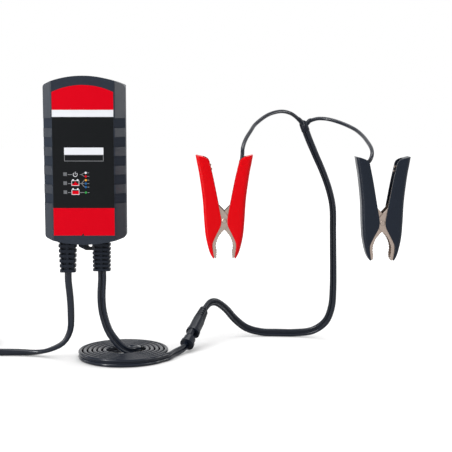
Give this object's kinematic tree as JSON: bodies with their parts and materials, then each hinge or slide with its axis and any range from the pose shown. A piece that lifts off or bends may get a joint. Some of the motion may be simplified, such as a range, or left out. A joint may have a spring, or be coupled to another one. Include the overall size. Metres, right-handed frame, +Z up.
{
  "type": "battery charger",
  "caption": "Wall-hung trickle charger with an arched case, ribbed strain reliefs, coiled flat leads, an in-line connector and insulated red and black battery clips.",
  "frame": {"origin": "centre of the hanging eye, halfway through the tab", "axes": "+Z up along the case, from the hanging eye towards the arched top; +X to the right of the front panel; +Y from the front panel to the back that lies on the wall"},
  "size_m": [0.4156, 0.1709, 0.223],
  "materials": {
    "case_front": "fine texture",
    "case_rear": "fine texture",
    "seal": "matt",
    "screw_steel": "zinc plated",
    "panel_film": "printed film",
    "window": "clear",
    "diode": "moulded",
    "board": "solder mask",
    "brown_wire": "extruded",
    "red_wire": "extruded",
    "component_black": "moulded",
    "choke_body": "varnished",
    "capacitor_sleeve": "sleeve",
    "ferrite": "sintered",
    "winding": "taped",
    "heat_sink_aluminium": "extruded",
    "relief_rubber": "satin",
    "cord_black": "satin",
    "tie_strap": "satin",
    "contact_brass": "plated",
    "connector_black": "moulded",
    "jaw_steel": "plated",
    "spring_steel": "drawn",
    "grip_red": "glossy",
    "grip_black": "glossy"
  },
  "bodies": {
    "charger": {"front_cover": "case_front", "rear_cover": "case_rear", "case_seal": "seal", "case_screws": "screw_steel", "label_panel": "panel_film", "led_windows": "window", "status_leds": "diode", "circuit_board": "board", "board_screws": "screw_steel", "mains_wires": "brown_wire", "output_wires": "red_wire", "fuse": "component_black", "line_choke": "choke_body", "bridge_rectifier": "component_black", "input_capacitor": "capacitor_sleeve", "transformer_core": "ferrite", "transformer_winding": "winding", "output_capacitors": "component_black", "heat_sink": "heat_sink_aluminium", "power_transistor": "component_black", "mains_strain_relief": "relief_rubber", "output_strain_relief": "relief_rubber", "mains_cord": "cord_black", "mains_coil": "cord_black", "mains_tail": "cord_black", "cord_tie": "tie_strap", "plug_body": "relief_rubber", "plug_pins": "contact_brass", "output_cord_drop": "cord_black", "output_coil": "cord_black", "output_cord_run": "cord_black", "charger_connector": "connector_black", "charger_contacts": "contact_brass"},
    "clip lead": {"clip_connector": "connector_black", "clip_contacts": "contact_brass", "clip_lead": "cord_black", "y_joint": "connector_black", "red_branch": "cord_black", "black_branch": "cord_black", "red_jaw_fixed": "jaw_steel", "red_grip_fixed": "grip_red", "red_rivet": "screw_steel", "red_spring": "spring_steel", "black_jaw_fixed": "jaw_steel", "black_grip_fixed": "grip_black", "black_rivet": "screw_steel", "black_spring": "spring_steel"},
    "red clip half": {"red_jaw_moving": "jaw_steel", "red_grip_moving": "grip_red"},
    "black clip half": {"black_jaw_moving": "jaw_steel", "black_grip_moving": "grip_black"}
  },
  "joints": [
    {"name": "connector_slide", "type": "slide", "parent": "charger", "child": "clip lead", "axis": [0.3006, 0.8258, 0.4772], "range_m": [0, 0.012]},
    {"name": "red_clip_hinge", "type": "hinge", "parent": "clip lead", "child": "red clip half", "pos_m": [0.1078, -0.0415, 0.0246], "axis": [0, 1, 0], "range_deg": [-23, 22], "stiffness_Nm_per_rad": 0.6, "deforming": ["red_spring"]},
    {"name": "black_clip_hinge", "type": "hinge", "parent": "clip lead", "child": "black clip half", "pos_m": [0.2278, -0.0415, 0.0228], "axis": [0, -1, 0], "range_deg": [-25, 19], "stiffness_Nm_per_rad": 0.6, "deforming": ["black_spring"]}
  ]
}
